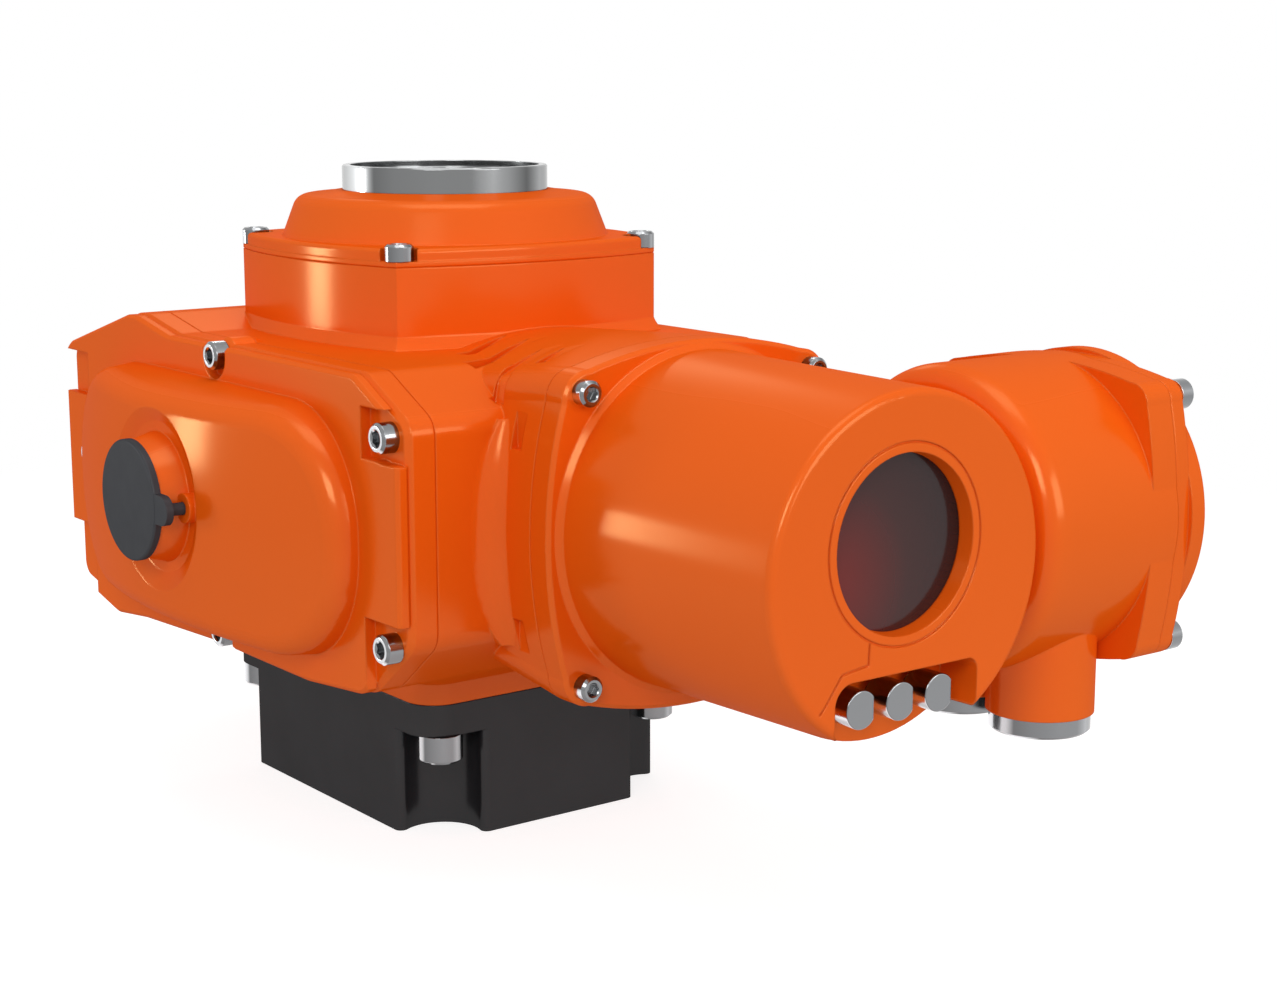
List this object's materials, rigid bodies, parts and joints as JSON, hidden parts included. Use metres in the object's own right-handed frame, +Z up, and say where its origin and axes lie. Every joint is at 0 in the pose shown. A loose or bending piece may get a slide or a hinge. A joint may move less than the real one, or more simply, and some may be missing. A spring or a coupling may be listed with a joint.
{
  "type": "electric valve actuator",
  "caption": "Explosion-proof electric actuator: worm gearbox with hollow drive sleeve, motor and spur train under a side cover, display housing with push buttons, terminal drum and hand drive.",
  "frame": {"origin": "centre of the thrust base's bottom mounting face, on the drive sleeve's axis", "axes": "+Z up along the drive axis, -Y towards the display, -X towards the motor cover, +X towards the terminal drum"},
  "size_m": [0.2841, 0.3837, 0.2356],
  "materials": {
    "orange_paint": "glossy orange paint on cast aluminium",
    "base_black": "satin black paint on cast aluminium",
    "bright_steel": "bright turned",
    "machined_steel": "machined",
    "bronze": "machined bronze",
    "magnet": "sintered",
    "sensor_plastic": "moulded",
    "seal_rubber": "matt",
    "winding": "laminations with varnished winding",
    "black_plastic": "satin moulding",
    "window_glass": "smoked dark red glass",
    "screen": "unlit display",
    "circuit_board": "solder mask",
    "terminal_plastic": "moulded"
  },
  "bodies": {
    "actuator": {"thrust_base": "base_black", "gear_housing": "orange_paint", "top_cover": "orange_paint", "stem_ring": "bright_steel", "motor_cover": "orange_paint", "control_housing": "orange_paint", "terminal_cover": "orange_paint", "position_sensor": "sensor_plastic", "lower_sleeve_bearing": "machined_steel", "upper_sleeve_bearing": "machined_steel", "output_seal": "seal_rubber", "worm_bearings": "machined_steel", "hand_bush": "bronze", "idler_pin": "machined_steel", "motor_stator": "winding", "motor_end_shields": "machined_steel", "display_window": "window_glass", "display_screen": "screen", "display_board": "circuit_board", "control_board": "circuit_board", "terminal_block": "terminal_plastic", "conduit_bushings": "bright_steel", "base_screws": "bright_steel", "tower_screws": "bright_steel", "motor_cover_screws": "bright_steel", "control_screws": "bright_steel", "terminal_screws": "bright_steel"},
    "sleeve": {"drive_sleeve": "machined_steel", "output_bush": "bronze", "worm_wheel": "bronze", "magnet_ring": "magnet"},
    "worm": {"worm_shaft": "machined_steel", "worm_gear": "machined_steel"},
    "hand": {"hand_spindle": "machined_steel", "hand_gear": "machined_steel"},
    "idler": {"idler_gear": "machined_steel"},
    "rotor": {"motor_rotor": "machined_steel", "motor_pinion": "machined_steel"},
    "cap": {"hand_drive_cap": "black_plastic"},
    "button_left": {"push_button_left": "bright_steel"},
    "button_middle": {"push_button_middle": "bright_steel"},
    "button_right": {"push_button_right": "bright_steel"}
  },
  "joints": [
    {"name": "worm_spin", "type": "hinge", "parent": "actuator", "child": "worm", "pos_m": [0, -0.048, 0.1225], "axis": [1, 0, 0], "continuous": true},
    {"name": "sleeve_spin", "type": "hinge", "parent": "actuator", "child": "sleeve", "pos_m": [0, 0, 0.1225], "axis": [0, 0, 1], "continuous": true},
    {"name": "hand_spin", "type": "hinge", "parent": "actuator", "child": "hand", "pos_m": [-0.093, 0, 0.1225], "axis": [1, 0, 0], "continuous": true},
    {"name": "idler_spin", "type": "hinge", "parent": "actuator", "child": "idler", "pos_m": [-0.093, 0.0405, 0.1225], "axis": [1, 0, 0], "continuous": true},
    {"name": "rotor_spin", "type": "hinge", "parent": "actuator", "child": "rotor", "pos_m": [-0.093, 0.0735, 0.1225], "axis": [1, 0, 0], "continuous": true},
    {"name": "cap_swing", "type": "hinge", "parent": "actuator", "child": "cap", "pos_m": [-0.13, -0.0255, 0.1225], "axis": [1, 0, 0], "range_deg": [0, 110]},
    {"name": "button_left_press", "type": "slide", "parent": "actuator", "child": "button_left", "axis": [0, 1, 0], "range_m": [0, 0.003], "stiffness_N_per_m": 400, "springref_m": -0.002},
    {"name": "button_middle_press", "type": "slide", "parent": "actuator", "child": "button_middle", "axis": [0, 1, 0], "range_m": [0, 0.003], "stiffness_N_per_m": 400, "springref_m": -0.002},
    {"name": "button_right_press", "type": "slide", "parent": "actuator", "child": "button_right", "axis": [0, 1, 0], "range_m": [0, 0.003], "stiffness_N_per_m": 400, "springref_m": -0.002}
  ],
  "couplings": [
    {"joint": "sleeve_spin", "follows": "worm_spin", "ratio": -0.027778},
    {"joint": "hand_spin", "follows": "worm_spin", "ratio": -1.6667},
    {"joint": "idler_spin", "follows": "worm_spin", "ratio": 1.3333},
    {"joint": "rotor_spin", "follows": "worm_spin", "ratio": -2.8571}
  ]
}
